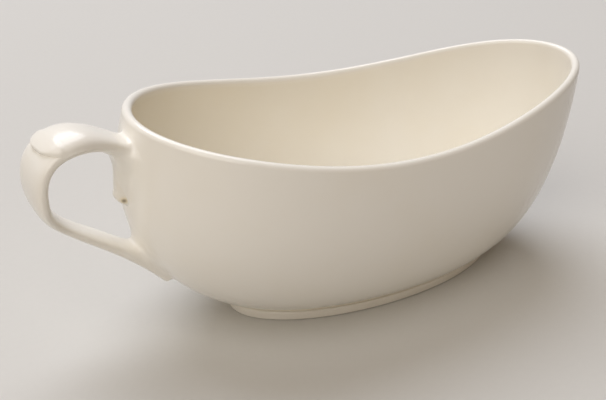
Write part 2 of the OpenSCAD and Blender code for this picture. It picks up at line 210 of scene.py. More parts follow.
def glazeMaterial(name, look):
    material = bpy.data.materials.new(name)
    material.use_nodes = True
    tree = material.node_tree
    shader = tree.nodes["Principled BSDF"]
    place = addNode(tree, "ShaderNodeTexCoord").outputs["Object"]
    pool = addNode(tree, "ShaderNodeAttribute", attribute_name="pool").outputs["Fac"]
    noise = {n: addNode(tree, "ShaderNodeTexNoise", named={
        "Vector": place, "Scale": 1 / (look[n + "Mm"] * mm), "Detail": detail, "Roughness": fineness})
        for n, detail, fineness in (("patch", 3.0, 0.55), ("roughPatch", 2.0, 0.5), ("ripple", 1.0, 0.5),
                                    ("grain", 2.0, 0.5))}
    uneven = addNode(tree, "ShaderNodeMapRange", noise["patch"], *noiseSpan,
                     -look["patchShare"], look["patchShare"])
    gatheredAndShade = addNode(tree, "ShaderNodeMath", pool, look["poolShare"], uneven,
                       operation="MULTIPLY_ADD", use_clamp=True)
    colour = addNode(tree, "ShaderNodeMix", gatheredAndShade, toLinear(look["thin"]), toLinear(look["gatheredAndShade"]),
                     data_type="RGBA")
    # Iron specks and pinholes: a small round spot in some of the cells of a coarse mesh of cells
    cells = addNode(tree, "ShaderNodeTexVoronoi", named={
        "Vector": place, "Scale": 1 / (look["pitEveryMm"] * mm), "Randomness": 1.0})
    reach = look["pitMm"] / look["pitEveryMm"]
    spot = addNode(tree, "ShaderNodeMapRange", cells.outputs["Distance"], reach * look["pitCore"], reach,
                   1.0, 0.0)
    lot = addNode(tree, "ShaderNodeSeparateColor", cells.outputs["Color"])
    chosen = addNode(tree, "ShaderNodeMath", lot, look["pitShare"], operation="LESS_THAN")
    pit = addNode(tree, "ShaderNodeMath", spot, chosen, operation="MULTIPLY")
    # Pool well over 1 paints a dark spot of shade in the pit colour, where the tail's nub has a shadowed
    # dimple
    paintedShadeSpot = addNode(tree, "ShaderNodeMapRange", pool, *look["paintedShadePool"], 0.0, 1.0)
    marked = addNode(tree, "ShaderNodeMath", pit, paintedShadeSpot, operation="MAXIMUM")
    speckedAndShadeSpotted = addNode(tree, "ShaderNodeMix", marked, colour, toLinear(look["pit"]), data_type="RGBA")
    rough = addNode(tree, "ShaderNodeMapRange", noise["roughPatch"], *noiseSpan, *look["rough"])
    waved = None
    for n in ("ripple", "grain"):
        waved = addNode(tree, "ShaderNodeBump", named={
            "Height": noise[n], "Strength": 1.0, "Distance": look[n + "DeepMm"] * mm, "Normal": waved})
    for socket, made in (("Base Color", speckedAndShadeSpotted), ("Roughness", rough), ("Normal", waved)):
        tree.links.new(shownOutput(made), shader.inputs[socket])
    shader.inputs["IOR"].default_value = look["ior"]
    return material


dippedGlaze = glazeMaterial("creamLeadGlazeDippedOnEarthenware", bodyGlaze)
jointGlaze = glazeMaterial("creamLeadGlazeGatheredOnSlip", slipGlaze)
print("stage: glaze materials made")

# Bowl: at each angle the wall is a four point curve, with one point on each of four ovals
bowlPlan = {
    "sizes": {
        "rimLength": 216, "rimWidth": 105, "rimForward": 1, "rimFront": 91, "rimBack": 98, "rimSide": 80.5,
        "rimShoulder": 2, "lip": 4,
        "baseLength": 133, "baseWidth": 59.5,
        "lowLength": 180.5, "lowWidth": 91.5, "lowForward": 2.5, "lowFront": 5.5, "lowBack": 12.5,
        "highLength": 228, "highWidth": 112.5, "highForward": -9.4, "highFront": 39, "highBack": 33,
        "wall": 4, "floor": 5, "floorLength": 92, "floorWidth": 34, "foot": 5.3,
        "wobble": 0.3, "wobbleSpan": 55,
    },
    "shape": {"egg": 0.2, "fill": 0.18, "wobbleSeed": 3.7},  # egg and fill are shares of the width
    # Inside, the pools paint shade into the glaze colour: gathered yellow high on the inside wall and most
    # at the handle's end, where the inside lies in shade, and thin white low down, on the inside floor and
    # at the front end, where light falls
    "pools": {"under": 0.8, "byFoot": 0.8, "byFootTo": 0.2, "lip": 0.0, "paintedShadeUnderLip": 0.75, "paintedShadeDownWall": 0.05,
              "downWallFrom": 0.7, "paintedShadeFrontShare": 0.05, "floor": 0.0},
    "counts": {"around": 257, "along": 73, "lipSteps": 15, "discSteps": 8},
}
bowlSizes, bowlShape, bowlPools, bowlCounts = bowlPlan.values()
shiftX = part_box("bowl")[1].x / mm - bowlSizes["rimForward"] - bowlSizes["rimLength"] / 2


def ovalGroup():
    names = ("angle", "length", "width", "forward", "egg", "fill", "inset", "height")
    tree, given, made = newTree("ovalAtHeight", {"Float": names}, {"Vector": ["point"]})
    cosA = addNode(tree, "ShaderNodeMath", given["angle"], operation="COSINE")
    sinA = addNode(tree, "ShaderNodeMath", given["angle"], operation="SINE")
    outward = addNode(tree, "ShaderNodeMath", given["inset"], -1.0, operation="MULTIPLY")
    halfLength = addNode(tree, "ShaderNodeMath", given["length"], 0.5, outward, operation="MULTIPLY_ADD")
    halfWidth = addNode(tree, "ShaderNodeMath", given["width"], 0.5, outward, operation="MULTIPLY_ADD")
    x = addNode(tree, "ShaderNodeMath", halfLength, cosA, given["forward"], operation="MULTIPLY_ADD")
    ends = addNode(tree, "ShaderNodeMath", given["fill"], cosA, operation="MULTIPLY")
    lean = addNode(tree, "ShaderNodeMath", ends, given["egg"], operation="SUBTRACT")
    full = addNode(tree, "ShaderNodeMath", lean, cosA, 1.0, operation="MULTIPLY_ADD")
    side = addNode(tree, "ShaderNodeMath", halfWidth, sinA, operation="MULTIPLY")
    y = addNode(tree, "ShaderNodeMath", side, full, operation="MULTIPLY")
    tree.links.new(addNode(tree, "ShaderNodeCombineXYZ", x, y, given["height"]).outputs[0], made["point"])
    return tree


def curveGroup():
    names = ["start", "second", "third", "end"]
    tree, given, made = newTree("fourPointCurve", {"Vector": names, "Float": ["share"]},
                                {"Vector": ["point", "direction"]})
    row = [given[n] for n in names]
    while len(row) > 1:  # mixes neighbours until one point is left
        before = row
        row = [addNode(tree, "ShaderNodeMix", given["share"], a, b, data_type="VECTOR", clamp_factor=False)
               for a, b in zip(row, row[1:])]
    step = addNode(tree, "ShaderNodeVectorMath", before[1], before[0], operation="SUBTRACT")
    way = addNode(tree, "ShaderNodeVectorMath", step, operation="NORMALIZE")
    tree.links.new(shownOutput(row[0]), made["point"])
    tree.links.new(way.outputs[0], made["direction"])
    return tree


oval = ovalGroup()
fourPoints = curveGroup()


def softSection(tree, turn, corner):
    # The two shares, from -1 to 1, of a point on a section with soft corners
    shares = []
    for operation in ("COSINE", "SINE"):
        wave = addNode(tree, "ShaderNodeMath", turn, operation=operation)
        size = addNode(tree, "ShaderNodeMath", wave, operation="ABSOLUTE")
        full = addNode(tree, "ShaderNodeMath", size, corner, operation="POWER")
        sign = addNode(tree, "ShaderNodeMath", wave, operation="SIGN")
        shares.append(addNode(tree, "ShaderNodeMath", full, sign, operation="MULTIPLY"))
    return shares


def bentSheet(tree, across, along, where, pool):
    # A sheet of points, marked with its pool and moved to its place
    grid = addNode(tree, "GeometryNodeMeshGrid", 1.0, 1.0, across, along)
    marked = addNode(tree, "GeometryNodeStoreNamedAttribute", data_type="FLOAT", domain="POINT",
                     named={"Geometry": grid, "Name": "pool", "Value": pool})
    return addNode(tree, "GeometryNodeSetPosition", named={"Geometry": marked, "Position": where})


def closePiece(tree, mesh, given, made):
    # The end of every tree: seams merged, smooth, plain mesh, glazed
    merged = addNode(tree, "GeometryNodeMergeByDistance", named={"Geometry": mesh, "Distance": grownSeam})
    smooth = addNode(tree, "GeometryNodeSetShadeSmooth", named={"Geometry": merged})
    real = addNode(tree, "GeometryNodeRealizeInstances", smooth)
    glazed = addNode(tree, "GeometryNodeSetMaterial", named={"Geometry": real, "Material": given["glaze"]})
    tree.links.new(glazed.outputs[0], made["Geometry"])


def bowlTree():
    tree, given, made = newTree("bowlLoft", {
        "Float": [*bowlSizes, *bowlShape, "shift"], "Int": bowlCounts, "Material": ["glaze"]})
    place = placeParts(tree)
    angle = addNode(tree, "ShaderNodeMath", place[0], math.tau, math.pi, operation="MULTIPLY_ADD")
    share = addNode(tree, "ShaderNodeMath", place[1], 0.5, operation="ADD")
    down = addNode(tree, "ShaderNodeMath", 1.0, share, operation="SUBTRACT")
    cosA = addNode(tree, "ShaderNodeMath", angle, operation="COSINE")
    toFront = addNode(tree, "ShaderNodeMath", cosA, 0.5, 0.5, operation="MULTIPLY_ADD")
    # Middle of the lip: a wave between the ends and the sides, with slightly raised shoulders
    ends = addNode(tree, "ShaderNodeMix", 0.5, given["rimFront"], given["rimBack"], data_type="FLOAT")
    between = addNode(tree, "ShaderNodeMix", toFront, given["rimBack"], given["rimFront"],
                      data_type="FLOAT")
    waves = []
    for times in (2.0, 4.0):
        turned = addNode(tree, "ShaderNodeMath", angle, times, operation="MULTIPLY")
        swing = addNode(tree, "ShaderNodeMath", turned, operation="COSINE")
        waves.append(addNode(tree, "ShaderNodeMath", swing, -0.5, 0.5, operation="MULTIPLY_ADD"))
    sag, hump = waves
    drop = addNode(tree, "ShaderNodeMath", given["rimSide"], ends, operation="SUBTRACT")
    lipRadius = addNode(tree, "ShaderNodeMath", given["lip"], 0.5, operation="MULTIPLY")
    sagged = addNode(tree, "ShaderNodeMath", drop, sag, between, operation="MULTIPLY_ADD")
    raised = addNode(tree, "ShaderNodeMath", given["rimShoulder"], hump, sagged, operation="MULTIPLY_ADD")
    rimZ = addNode(tree, "ShaderNodeMath", raised, lipRadius, operation="SUBTRACT")
    height = {}
    for level in ("low", "high"):
        slope = addNode(tree, "ShaderNodeMix", toFront, given[level + "Back"], given[level + "Front"],
                        data_type="FLOAT")
        height[level] = addNode(tree, "ShaderNodeMath", slope, given["foot"], operation="ADD")
    floorZ = addNode(tree, "ShaderNodeMath", given["foot"], given["floor"], operation="ADD")
    halfEgg = addNode(tree, "ShaderNodeMath", given["egg"], 0.5, operation="MULTIPLY")
    forward = {n: addNode(tree, "ShaderNodeMath", given[n + "Forward"], given["shift"], operation="ADD")
               for n in ("rim", "high", "low")}
    # The lip is half a circle from the outside to the inside
    turn = addNode(tree, "ShaderNodeMath", share, math.pi, operation="MULTIPLY")
    cosTurn = addNode(tree, "ShaderNodeMath", turn, operation="COSINE")
    sinTurn = addNode(tree, "ShaderNodeMath", turn, operation="SINE")
    over = addNode(tree, "ShaderNodeMath", cosTurn, -1.0, 1.0, operation="MULTIPLY_ADD")
    lipIn = addNode(tree, "ShaderNodeMath", over, lipRadius, operation="MULTIPLY")
    lipZ = addNode(tree, "ShaderNodeMath", sinTurn, lipRadius, rimZ, operation="MULTIPLY_ADD")
    # Length, width, forward, egg and fill of each oval; its inset and height follow below
    plan = {
        "base": (given["baseLength"], given["baseWidth"], given["shift"], 0.0, 0.0),
        "floor": (given["floorLength"], given["floorWidth"], given["shift"], 0.0, 0.0),
        "low": (given["lowLength"], given["lowWidth"], forward["low"], halfEgg, 0.0),
        "high": (given["highLength"], given["highWidth"], forward["high"], given["egg"], given["fill"]),
        "rim": (given["rimLength"], given["rimWidth"], forward["rim"], given["egg"], given["fill"]),
    }
    point = {n: addNode(tree, "GeometryNodeGroup", angle, *plan[level], inset, z, node_tree=oval)
             for n, level, inset, z in (
                 ("base", "base", 0.0, given["foot"]), ("low", "low", 0.0, height["low"]),
                 ("high", "high", 0.0, height["high"]), ("rim", "rim", 0.0, rimZ),
                 ("floor", "floor", 0.0, floorZ), ("lowIn", "low", given["wall"], floorZ),
                 ("highIn", "high", given["wall"], height["high"]), ("rimIn", "rim", given["lip"], rimZ),
                 ("lip", "rim", lipIn, lipZ))}
    underMiddle = addNode(tree, "ShaderNodeCombineXYZ", given["shift"], 0.0, given["foot"])
    floorMiddle = addNode(tree, "ShaderNodeCombineXYZ", given["shift"], 0.0, floorZ)
    outside = addNode(tree, "GeometryNodeGroup", *[point[n] for n in ("base", "low", "high", "rim")],
                      share, node_tree=fourPoints)
    inside = addNode(tree, "GeometryNodeGroup", *[point[n] for n in ("floor", "lowIn", "highIn", "rimIn")],
                     down, node_tree=fourPoints)
    under = addNode(tree, "ShaderNodeMix", share, underMiddle, point["base"], data_type="VECTOR")
    floor = addNode(tree, "ShaderNodeMix", share, point["floor"], floorMiddle, data_type="VECTOR")
    # The glaze lies thicker by the foot outside. Inside, the gathered colour under the lip and most at the
    # handle's end is painted shade, whiter low down and towards the front end where light falls
    byFoot = addNode(tree, "ShaderNodeMapRange", share, 0.0, bowlPools["byFootTo"], bowlPools["byFoot"],
                     0.0, interpolation_type="SMOOTHSTEP")
    paintedShadeDownWall = addNode(tree, "ShaderNodeMapRange", share, 0.0, bowlPools["downWallFrom"],
                       bowlPools["paintedShadeUnderLip"], bowlPools["paintedShadeDownWall"], interpolation_type="SMOOTHSTEP")
    paintedShadeByHandle = addNode(tree, "ShaderNodeMath", toFront, bowlPools["paintedShadeFrontShare"] - 1, 1.0,
                       operation="MULTIPLY_ADD")
    paintedShadeInHollow = addNode(tree, "ShaderNodeMath", paintedShadeDownWall, paintedShadeByHandle, operation="MULTIPLY")
    joined = addNode(tree, "GeometryNodeJoinGeometry")
    for steps, where, pool in (("discSteps", under, bowlPools["under"]), ("along", outside, byFoot),
                               ("lipSteps", point["lip"], bowlPools["lip"]), ("along", inside, paintedShadeInHollow),
                               ("discSteps", floor, bowlPools["floor"])):
        sheet = bentSheet(tree, given["around"], given[steps], where, pool)
        tree.links.new(sheet.outputs[0], joined.inputs[0])
    # The slow unevenness of a wall pressed and smoothed by hand
    merged = addNode(tree, "GeometryNodeMergeByDistance", named={"Geometry": joined, "Distance": grownSeam})
    often = addNode(tree, "ShaderNodeMath", 1.0, given["wobbleSpan"], operation="DIVIDE")
    noise = addNode(tree, "ShaderNodeTexNoise", noise_dimensions="4D",
                    named={"Scale": often, "Detail": 0.0, "W": given["wobbleSeed"]})
    push = addNode(tree, "ShaderNodeMath", noise, 0.5, operation="SUBTRACT")
    amount = addNode(tree, "ShaderNodeMath", push, given["wobble"], operation="MULTIPLY")
    shove = addNode(tree, "ShaderNodeVectorMath", operation="SCALE",
                    named={"Vector": addNode(tree, "GeometryNodeInputNormal"), "Scale": amount})
    uneven = addNode(tree, "GeometryNodeSetPosition", named={"Geometry": merged, "Offset": shove})
    closePiece(tree, uneven, given, made)
    return tree


bowlValues = inMetres(bowlSizes)
bowl = growPiece("bowl_glazed", bowlTree(), {
    **bowlValues, **bowlShape, **bowlCounts, "shift": shiftX * mm, "glaze": dippedGlaze})
bowlSurface = BVHTree.FromPolygons([v.co for v in bowl.data.vertices],
                                   [p.vertices for p in bowl.data.polygons])
print("stage: bowl grown,", len(bowl.data.polygons), "faces")


def wallAt(y, z):
    # The outside of the wall at the handle's end, and its outward normal
    return bowlSurface.ray_cast(Vector((rayStart, y, z)), Vector((1, 0, 0)))[:2]


# Foot ring, and the bed of slip between it and the bowl: a soft-cornered section run round the base oval
footPlan = {
    "sizes": {"inset": -0.6, "ringWidth": 7, "bedInset": 0.8, "bedHeight": 0.5, "bedSink": 0.6},
    "shape": {"ringCorner": 0.5, "bedCorner": 0.8, "ringPool": 0.12, "bedPool": 0.5},
    "counts": {"around": 257, "turns": 33},
}
footSizes, footShape, footCounts = footPlan.values()


def footTree():
    names = ("length", "width", "shift", "outerInset", "sectionWidth", "bottom", "top", "corner", "pool")
    tree, given, made = newTree("footLoft", {"Float": names, "Int": footCounts, "Material": ["glaze"]})
    place = placeParts(tree)
    angle = addNode(tree, "ShaderNodeMath", place[0], math.tau, math.pi, operation="MULTIPLY_ADD")
    turn = addNode(tree, "ShaderNodeMath", place[1], math.tau, math.pi, operation="MULTIPLY_ADD")
    across, up = softSection(tree, turn, given["corner"])
    inner = addNode(tree, "ShaderNodeMath", given["outerInset"], given["sectionWidth"], operation="ADD")
    toOut = addNode(tree, "ShaderNodeMath", across, 0.5, 0.5, operation="MULTIPLY_ADD")
    toTop = addNode(tree, "ShaderNodeMath", up, 0.5, 0.5, operation="MULTIPLY_ADD")
    inset = addNode(tree, "ShaderNodeMix", toOut, inner, given["outerInset"], data_type="FLOAT")
    z = addNode(tree, "ShaderNodeMix", toTop, given["bottom"], given["top"], data_type="FLOAT")
    where = addNode(tree, "GeometryNodeGroup", angle, given["length"], given["width"], given["shift"],
                    0.0, 0.0, inset, z, node_tree=oval)
    ring = bentSheet(tree, given["around"], given["turns"], where, given["pool"])
    closePiece(tree, ring, given, made)
    return tree


footLoft = footTree()
footValues = {"length": bowlValues["baseLength"], "width": bowlValues["baseWidth"], "shift": shiftX * mm,
              **footCounts}
ringTop = bowlSizes["foot"] - footSizes["bedHeight"]
footRing = growPiece("foot_ring_glazed", footLoft, {
    **footValues, "outerInset": footSizes["inset"] * mm, "sectionWidth": footSizes["ringWidth"] * mm,
    "bottom": 0.0, "top": ringTop * mm, "corner": footShape["ringCorner"], "pool": footShape["ringPool"],
    "glaze": dippedGlaze})
footBed = growPiece("foot_joint_slip_bed", footLoft, {
    **footValues, "outerInset": (footSizes["inset"] + footSizes["bedInset"]) * mm,
    "sectionWidth": (footSizes["ringWidth"] - 2 * footSizes["bedInset"]) * mm,
    "bottom": (ringTop - footSizes["bedSink"]) * mm,
    "top": (ringTop + footSizes["bedHeight"] + footSizes["bedSink"]) * mm,
    "corner": footShape["bedCorner"], "pool": footShape["bedPool"], "glaze": jointGlaze})
print("stage: foot ring and its slip bed grown")

# Strap handle: u runs from 0 at the upper joint, through 1 at the outermost place, to 2 at the lower end.
# Its path is two four point curves, one to the outermost place and one from it.
strapPlan = {
    "path": {"jointDrop": 10.5, "reach": 39.9, "drop": 8.6, "lowerJoint": 27.5, "topPull": 18.3,
             "shoulderPull": 20.2, "elbowPull": 21, "armPull": 42, "rootLift": 1.5, "topAngle": 36.8},
    "sizes": {"thick": 6.0, "lowThick": 3.5, "rootThick": 2, "neckWidth": 15, "topWidth": 22.2,
              "backWidth": 26.4, "lowWidth": 14, "sink": 0.4, "tipLength": 2.2},
    "shape": {"startsAt": -0.035, "neckTo": 0.54, "narrowBy": 1.45, "rootFrom": 1.3, "hugFrom": 1.5,
              "corner": 0.7, "pool": 0.05},
    "counts": {"stations": 181, "turns": 65},
}
strapPath, strapSizes, strapShape, strapCounts = strapPlan.values()
strapCrowd = 0.85  # how much the stations crowd towards both ends, where the strap closes
strapOpening = 0.004  # share of the stations in which the upper end opens
strapSteps = 200  # steps in which the length of each half is measured
strapNudge = 0.002  # how far to both sides the direction is taken

upperZ = bowlSizes["rimBack"] - strapPath["jointDrop"]
upperStart = wallAt(0, upperZ * mm)[0]
outermost = Vector((upperStart.x - (strapPath["reach"] - strapSizes["thick"] / 2) * mm, 0,
                    (upperZ - strapPath["drop"]) * mm))
topAngle = math.radians(strapPath["topAngle"])
topWay = Vector((-math.cos(topAngle), 0, math.sin(topAngle)))
lowWall, lowNormal = wallAt(0, strapPath["lowerJoint"] * mm)
lowNormal = Vector((lowNormal.x, 0, lowNormal.z)).normalized()
lowWay = Vector((-lowNormal.z, 0, lowNormal.x))
if lowWay.z > 0:
    lowWay = -lowWay
lowEnd = lowWall + lowNormal * strapPath["rootLift"] * mm
upperCurve = [upperStart, upperStart + topWay * strapPath["topPull"] * mm,
              outermost + Vector((0, 0, strapPath["shoulderPull"] * mm)), outermost]
lowerCurve = [outermost, outermost - Vector((0, 0, strapPath["elbowPull"] * mm)),
              lowEnd - lowWay * strapPath["armPull"] * mm, lowEnd]
pathPoints = {half + "Point%d" % k: point for half, curve in (("upper", upperCurve), ("lower", lowerCurve))
              for k, point in enumerate(curve)}


def strapTree():
    tree, given, made = newTree("strapLoft", {
        "Vector": pathPoints, "Float": [*strapSizes, *strapShape], "Int": strapCounts, "Object": ["bowl"],
        "Material": ["glaze"]})
    place = placeParts(tree)
    even = addNode(tree, "ShaderNodeMath", place[0], 0.5, operation="ADD")
    fullTurn = addNode(tree, "ShaderNodeMath", even, math.tau, operation="MULTIPLY")
    wave = addNode(tree, "ShaderNodeMath", fullTurn, operation="SINE")
    share = addNode(tree, "ShaderNodeMath", wave, -strapCrowd / math.tau, even, operation="MULTIPLY_ADD")
    u = addNode(tree, "ShaderNodeMix", share, given["startsAt"], 2.0, data_type="FLOAT")
    turn = addNode(tree, "ShaderNodeMath", place[1], math.tau, math.pi, operation="MULTIPLY_ADD")
    past = addNode(tree, "ShaderNodeMath", u, 1.0, operation="SUBTRACT")
    upper, lower = [addNode(tree, "GeometryNodeGroup", *[given[half + "Point%d" % k] for k in range(4)], s,
                            node_tree=fourPoints) for half, s in (("upper", u), ("lower", past))]
    isLower = addNode(tree, "FunctionNodeCompare", past, 0.0, operation="GREATER_THAN", data_type="FLOAT")
    middle, way = [addNode(tree, "GeometryNodeSwitch", isLower, upper.outputs[k], lower.outputs[k],
                           input_type="VECTOR") for k in range(2)]
    across = addNode(tree, "ShaderNodeCombineXYZ", 0.0, 1.0, 0.0)
    out = addNode(tree, "ShaderNodeVectorMath", across, way, operation="CROSS_PRODUCT")
    # Width and thickness along the strap
    wide = addNode(tree, "ShaderNodeMapRange", u, 0.0, 1.0, given["topWidth"], given["backWidth"],
                   interpolation_type="SMOOTHSTEP")
    neck = addNode(tree, "ShaderNodeMapRange", u, 0.0, given["neckTo"], 0.0, 1.0,
                   interpolation_type="SMOOTHSTEP")
    necked = addNode(tree, "ShaderNodeMix", neck, given["neckWidth"], wide, data_type="FLOAT")
    narrow = addNode(tree, "ShaderNodeMapRange", u, 1.0, given["narrowBy"], 0.0, 1.0,
                     interpolation_type="SMOOTHSTEP")
    width = addNode(tree, "ShaderNodeMix", narrow, necked, given["lowWidth"], data_type="FLOAT")
    thick = addNode(tree, "ShaderNodeMix", narrow, given["thick"], given["lowThick"], data_type="FLOAT")
    root = addNode(tree, "ShaderNodeMapRange", u, given["rootFrom"], 2.0, 0.0, given["rootThick"],
                   interpolation_type="SMOOTHSTEP")
    side, face = softSection(tree, turn, given["corner"])
    # Both ends close: the upper one inside the wall, the lower one in a rounded tip
    left = addNode(tree, "ShaderNodeVectorMath", lower.outputs[0], given["lowerPoint3"],
                   operation="DISTANCE")
    gone = addNode(tree, "ShaderNodeMapRange", left.outputs["Value"], 0.0, given["tipLength"], 1.0, 0.0)
    goneInLower = addNode(tree, "ShaderNodeMath", gone, isLower, operation="MULTIPLY")
    goneTwice = addNode(tree, "ShaderNodeMath", goneInLower, goneInLower, operation="MULTIPLY")
    leftTwice = addNode(tree, "ShaderNodeMath", 1.0, goneTwice, operation="SUBTRACT")
    tip = addNode(tree, "ShaderNodeMath", leftTwice, operation="SQRT")
    opened = addNode(tree, "ShaderNodeMapRange", even, 0.0, strapOpening, 0.0, 1.0)
    close = addNode(tree, "ShaderNodeMath", tip, opened, operation="MULTIPLY")
    halfWidth = addNode(tree, "ShaderNodeMath", width, 0.5, operation="MULTIPLY")
    halfThick = addNode(tree, "ShaderNodeMath", thick, 0.5, operation="MULTIPLY")
    sideways = addNode(tree, "ShaderNodeMath", side, halfWidth, operation="MULTIPLY")
    sideways = addNode(tree, "ShaderNodeMath", sideways, close, operation="MULTIPLY")
    inward = addNode(tree, "ShaderNodeMath", face, 0.0, operation="MINIMUM")
    inner = addNode(tree, "ShaderNodeMath", inward, root, operation="MULTIPLY")
    facing = addNode(tree, "ShaderNodeMath", face, halfThick, inner, operation="MULTIPLY_ADD")
    facing = addNode(tree, "ShaderNodeMath", facing, close, operation="MULTIPLY")
    free = middle
    for direction, amount in ((out, facing), (across, sideways)):
        moved = addNode(tree, "ShaderNodeVectorMath", operation="SCALE",
                        named={"Vector": direction, "Scale": amount})
        free = addNode(tree, "ShaderNodeVectorMath", free, moved, operation="ADD")
    # The lower arm bends across its width to the curve of the wall, and its inside stays on the wall
    split = addNode(tree, "ShaderNodeSeparateXYZ", free).outputs
    target = addNode(tree, "GeometryNodeObjectInfo", named={"Object": given["bowl"]}).outputs["Geometry"]
    towards = addNode(tree, "ShaderNodeCombineXYZ", 1.0, 0.0, 0.0)
    hits = []
    for y in (split[1], 0.0):
        source = addNode(tree, "ShaderNodeCombineXYZ", rayStart, y, split[2])
        ray = addNode(tree, "GeometryNodeRaycast", named={
            "Target Geometry": target, "Source Position": source, "Ray Direction": towards,
            "Ray Length": rayLength})
        hits.append(addNode(tree, "ShaderNodeSeparateXYZ", ray.outputs["Hit Position"]))
    bend = addNode(tree, "ShaderNodeMath", hits[0], hits[1], operation="SUBTRACT")
    hug = addNode(tree, "ShaderNodeMapRange", u, given["hugFrom"], 2.0, 0.0, 1.0,
                  interpolation_type="SMOOTHSTEP")
    bentX = addNode(tree, "ShaderNodeMath", bend, hug, split[0], operation="MULTIPLY_ADD")
    most = addNode(tree, "ShaderNodeMath", hits[0], given["sink"], operation="ADD")
    keptX = addNode(tree, "ShaderNodeMath", bentX, most, operation="MINIMUM")
    kept = addNode(tree, "ShaderNodeCombineXYZ", keptX, split[1], split[2])
    where = addNode(tree, "GeometryNodeSwitch", isLower, free, kept, input_type="VECTOR")
    closed = bentSheet(tree, given["stations"], given["turns"], where, given["pool"])
    closePiece(tree, closed, given, made)
    return tree


strap = growPiece("handle_strap_glazed", strapTree(), {
    **pathPoints, **inMetres(strapSizes), **strapShape, **strapCounts,
    "bowl": bowl, "glaze": dippedGlaze})
print("stage: strap grown,", len(strap.data.polygons), "faces")


def strapMiddle(u):
    return fourPoint(upperCurve, u) if u <= 1 else fourPoint(lowerCurve, u - 1)


def strapWay(u):
    return (strapMiddle(min(2, u + strapNudge)) - strapMiddle(u - strapNudge)).normalized()


def strapOut(u):
    return Vector((0, 1, 0)).cross(strapWay(u))


def strapNarrowing(u):
    return ease((u - 1) / (strapShape["narrowBy"] - 1))


def strapWidth(u):
    wide = blend(strapSizes["topWidth"], strapSizes["backWidth"], ease(u))
    wide = blend(strapSizes["neckWidth"], wide, ease(u / strapShape["neckTo"]))
    return mm * blend(wide, strapSizes["lowWidth"], strapNarrowing(u))


def strapThick(u):
    return mm * blend(strapSizes["thick"], strapSizes["lowThick"], strapNarrowing(u))


strapTable = [(0.0, 0.0)]  # distance along the strap from the upper joint, and u
for step in range(1, 2 * strapSteps + 1):
    u = step / strapSteps
    stride = (strapMiddle(u) - strapMiddle(u - 1 / strapSteps)).length
    strapTable.append((strapTable[-1][0] + stride, u))


def uAt(distance):
    for (d0, u0), (d1, u1) in zip(strapTable, strapTable[1:]):
        if distance <= d1:
            return blend(u0, u1, (distance - d0) / (d1 - d0))
    return 2.0


# Thumb rest: a leaf of clay over the whole width of the strap, thin towards the bowl, with a rounded step
# at its outer end. Its sides fall softly on the body and crisply at the rounded end.
restPlan = {
    "sizes": {"start": 7.2, "length": 27.7, "roundLength": 6.5, "thick": 2.2, "thinThick": 0.3,
              "fullAt": 17, "edge": 0.8, "overhang": 0.15, "sink": 0.6, "press": 0.05, "leastThick": 0.02},
    "shape": {"softSide": 2.4, "crispSide": 14, "crispBy": 2.5, "sideFall": 0.6, "dome": 0.3, "skew": 0.08,
              "roundPower": 3, "underPower": 4, "tipShare": 0.02, "pool": 0.05},
    "counts": {"stations": 72, "across": 40},
}
restSizes, restShape, restCounts = restPlan.values()


def strapFace(u, y):
    # How far the outer face of the strap stands from its middle line
    lean = min(1.0, abs(y) / (strapWidth(u) / 2))
    power = 2 / strapShape["corner"]
    return strapThick(u) / 2 * (1 - lean ** power) ** (1 / power)


rows = []
bodyLength = restSizes["length"] - restSizes["roundLength"]
for i in range(restCounts["stations"] + 1):
    d = restSizes["length"] * math.sin(math.pi / 2 * i / restCounts["stations"])
    along = (restSizes["start"] + d) * mm
    past = max(0.0, d - bodyLength) / restSizes["roundLength"]
    rounding = math.sqrt(max(0.0, 1 - past ** restShape["roundPower"]))
    half = (strapWidth(uAt(along)) / 2 + restSizes["overhang"] * mm) * max(restShape["tipShare"], rounding)
    left = max(0.0, 1 - (restSizes["length"] - d) / restSizes["edge"])
    thick = blend(restSizes["thinThick"], restSizes["thick"], ease(d / restSizes["fullAt"]))
    high = mm * thick * math.sqrt(1 - left * left)
    crisp = ease(past * restShape["crispBy"])
    power = blend(restShape["softSide"], restShape["crispSide"], crisp)
    over, under = [], []
    for j in range(restCounts["across"] + 1):
        lean = -math.cos(math.pi * j / restCounts["across"])
        y = half * lean
        toEdge = past ** 2 + lean ** 2 * (1 - past ** 2)
        crown = (1 - restShape["dome"] * crisp * toEdge) * (1 - abs(lean) ** power) ** restShape["sideFall"]
        here = uAt(along + restShape["skew"] * ease(d / bodyLength) * y)
        seat = strapFace(here, y) - restSizes["press"] * mm
        deep = restSizes["sink"] * (1 - abs(lean) ** restShape["underPower"]) + restSizes["leastThick"]
        base = strapMiddle(here) + Vector((0, y, 0))
        over.append(base + strapOut(here) * (seat + high * crown))
        under.append(base + strapOut(here) * (seat - deep * mm))
    rows.append(over + under[::-1])
rows = [pinched(rows[0])] + rows + [pinched(rows[-1])]
thumbRest = skinRows("thumb_rest_glazed", rows, dippedGlaze, lambda point: restShape["pool"])
print("stage: thumb rest made")

